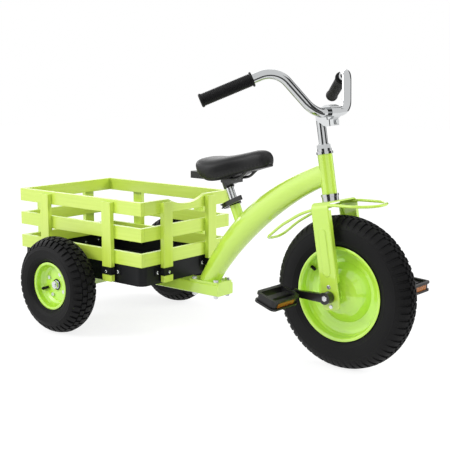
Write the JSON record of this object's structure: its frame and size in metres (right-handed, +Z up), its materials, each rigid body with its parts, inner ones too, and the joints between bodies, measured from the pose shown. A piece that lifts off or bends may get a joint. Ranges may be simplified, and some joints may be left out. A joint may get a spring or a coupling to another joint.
{
  "type": "tricycle",
  "caption": "Children's tricycle with a pedalled front wheel, curved backbone frame, adjustable saddle and a slatted cargo crate over the rear axle.",
  "frame": {"origin": "on the floor, under the middle of the overall length and width", "axes": "+X forward, +Y to the rider's left, +Z up"},
  "size_m": [1.177, 0.5452, 0.6981],
  "materials": {
    "green_paint": "gloss",
    "black_paint": "satin",
    "green_wood": "gloss",
    "zinc_steel": "bright",
    "chrome": "polished",
    "tyre_rubber": "matte",
    "black_rubber": "matte",
    "black_plastic": "satin",
    "amber_plastic": "gloss",
    "black_vinyl": "satin"
  },
  "bodies": {
    "frame": {"head_tube": "green_paint", "headset_cups": "chrome", "backbone_tube": "green_paint", "seat_tube": "green_paint", "foot_plate": "green_paint", "chassis_beam": "green_paint", "axle_cross_tube": "green_paint", "rear_axle": "zinc_steel", "axle_hardware": "zinc_steel", "cargo_tray": "black_paint", "strap_brackets": "black_paint", "strap_bolts": "zinc_steel", "frame_bolts": "zinc_steel", "left_slats": "green_wood", "right_slats": "green_wood", "front_slats": "green_wood", "rear_slats": "green_wood", "side_posts": "green_wood", "end_posts": "green_wood", "seat_collar": "black_paint"},
    "steering": {"fork": "green_paint", "steerer_tube": "zinc_steel", "headset_cones": "chrome", "handlebar_stem": "chrome", "stem_bolts": "zinc_steel", "handlebar": "chrome", "left_grip": "black_rubber", "right_grip": "black_rubber", "front_guard": "green_paint", "rear_guard": "green_paint", "spindle_bearings": "zinc_steel", "bearing_bolts": "zinc_steel"},
    "front_wheel": {"front_tyre": "tyre_rubber", "front_tube": "black_rubber", "front_rim": "green_paint", "crank_spindle": "zinc_steel", "left_crank": "black_paint", "right_crank": "black_paint", "crank_bolts": "zinc_steel", "pedal_spindles": "zinc_steel"},
    "right_pedal_body": {"right_pedal": "black_plastic", "right_reflectors": "amber_plastic"},
    "left_pedal_body": {"left_pedal": "black_plastic", "left_reflectors": "amber_plastic"},
    "right_wheel": {"right_tyre": "tyre_rubber", "right_tube": "black_rubber", "right_rim": "green_paint", "right_rim_bolts": "zinc_steel", "right_hub": "zinc_steel"},
    "left_wheel": {"left_tyre": "tyre_rubber", "left_tube": "black_rubber", "left_rim": "green_paint", "left_rim_bolts": "zinc_steel", "left_hub": "zinc_steel"},
    "seat": {"seat_post": "chrome", "saddle_clamp": "black_paint", "saddle_rails": "black_paint", "saddle_base": "black_plastic", "saddle_pad": "black_vinyl"},
    "quick_release": {"quick_release_lever": "black_paint"}
  },
  "joints": [
    {"name": "steering_turn", "type": "hinge", "parent": "frame", "child": "steering", "pos_m": [0.35, 0, 0.455], "axis": [-0.1668, 0, 0.986], "range_deg": [-60, 60]},
    {"name": "front_wheel_spin", "type": "hinge", "parent": "steering", "child": "front_wheel", "pos_m": [0.406, 0, 0.1825], "axis": [0, 1, 0], "continuous": true},
    {"name": "right_pedal_spin", "type": "hinge", "parent": "front_wheel", "child": "right_pedal_body", "pos_m": [0.318, -0.139, 0.1825], "axis": [0, 1, 0], "continuous": true},
    {"name": "left_pedal_spin", "type": "hinge", "parent": "front_wheel", "child": "left_pedal_body", "pos_m": [0.494, 0.139, 0.1825], "axis": [0, 1, 0], "continuous": true},
    {"name": "right_wheel_spin", "type": "hinge", "parent": "frame", "child": "right_wheel", "pos_m": [-0.351, -0.231, 0.13], "axis": [0, 1, 0], "continuous": true},
    {"name": "left_wheel_spin", "type": "hinge", "parent": "frame", "child": "left_wheel", "pos_m": [-0.351, 0.231, 0.13], "axis": [0, 1, 0], "continuous": true},
    {"name": "seat_height", "type": "slide", "parent": "frame", "child": "seat", "axis": [-0.4067, 0, 0.9135], "range_m": [-0.015, 0.035]},
    {"name": "lever_swing", "type": "hinge", "parent": "frame", "child": "quick_release", "pos_m": [0.0461, -0.0155, 0.35405], "axis": [0.4067, 0, -0.9135], "range_deg": [0, 170]}
  ]
}
